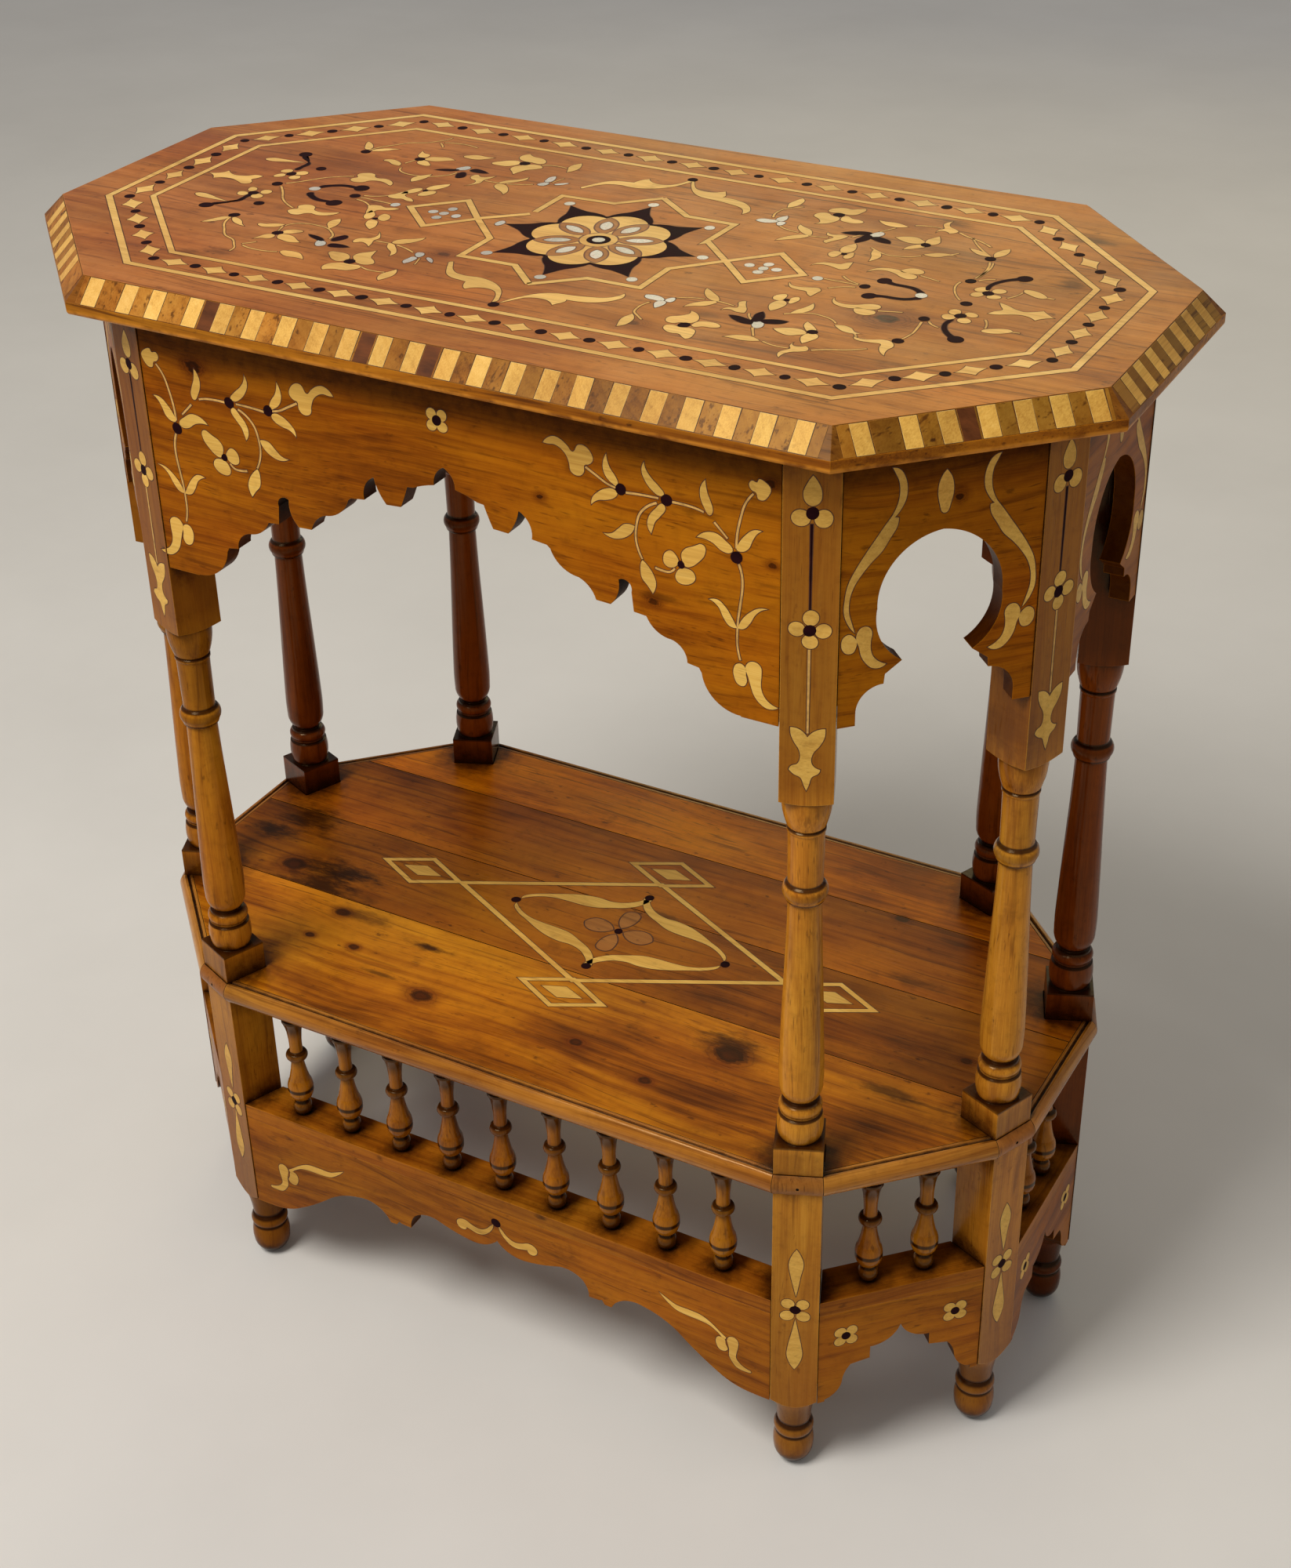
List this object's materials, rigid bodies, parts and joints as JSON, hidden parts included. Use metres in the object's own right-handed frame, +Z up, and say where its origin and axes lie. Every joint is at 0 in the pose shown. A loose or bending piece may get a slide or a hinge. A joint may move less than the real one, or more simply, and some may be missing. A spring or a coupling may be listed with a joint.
{
  "type": "elongated octagonal two-tier occasional table",
  "caption": "Long octagonal side table with a bevelled top on sawn arched aprons, turned legs, and a low boarded shelf over a baluster gallery.",
  "frame": {"origin": "on the floor under the middle of the top", "axes": "+Z up, X along the table's long side, -Y out of its front"},
  "size_m": [0.6874, 0.3752, 0.74],
  "materials": {
    "top_wood": "waxed satin",
    "shelf_wood": "waxed satin",
    "leg_wood": "waxed satin",
    "baluster_wood": "waxed satin",
    "apron_wood": "waxed satin",
    "moulding_wood": "waxed satin",
    "hidden_wood": "raw",
    "iron": "dull"
  },
  "bodies": {
    "root": {"balusters_back": "baluster_wood", "balusters_back_left": "baluster_wood", "balusters_back_right": "baluster_wood", "balusters_front": "baluster_wood", "balusters_front_left": "baluster_wood", "balusters_front_right": "baluster_wood", "balusters_left": "baluster_wood", "balusters_right": "baluster_wood", "batten_screws": "iron", "gallery_rail_back": "apron_wood", "gallery_rail_back_left": "apron_wood", "gallery_rail_back_right": "apron_wood", "gallery_rail_front": "apron_wood", "gallery_rail_front_left": "apron_wood", "gallery_rail_front_right": "apron_wood", "gallery_rail_left": "apron_wood", "gallery_rail_right": "apron_wood", "leg_back_left": "leg_wood", "leg_back_right": "leg_wood", "leg_front_left": "leg_wood", "leg_front_right": "leg_wood", "leg_left_back": "leg_wood", "leg_left_front": "leg_wood", "leg_right_back": "leg_wood", "leg_right_front": "leg_wood", "lower_apron_back": "apron_wood", "lower_apron_back_left": "apron_wood", "lower_apron_back_right": "apron_wood", "lower_apron_front": "apron_wood", "lower_apron_front_left": "apron_wood", "lower_apron_front_right": "apron_wood", "lower_apron_left": "apron_wood", "lower_apron_right": "apron_wood", "moulding_slips": "moulding_wood", "shelf_batten_left": "hidden_wood", "shelf_batten_right": "hidden_wood", "shelf_board_1": "shelf_wood", "shelf_board_2": "shelf_wood", "shelf_board_3": "shelf_wood", "shelf_board_4": "shelf_wood", "shelf_moulding_back": "moulding_wood", "shelf_moulding_back_left": "moulding_wood", "shelf_moulding_back_right": "moulding_wood", "shelf_moulding_front": "moulding_wood", "shelf_moulding_front_left": "moulding_wood", "shelf_moulding_front_right": "moulding_wood", "shelf_moulding_left": "moulding_wood", "shelf_moulding_right": "moulding_wood", "slip_pins": "iron", "top_batten_left": "hidden_wood", "top_batten_right": "hidden_wood", "top_board": "top_wood", "upper_apron_back": "apron_wood", "upper_apron_back_left": "apron_wood", "upper_apron_back_right": "apron_wood", "upper_apron_front": "apron_wood", "upper_apron_front_left": "apron_wood", "upper_apron_front_right": "apron_wood", "upper_apron_left": "apron_wood", "upper_apron_right": "apron_wood"}
  },
  "joints": []
}
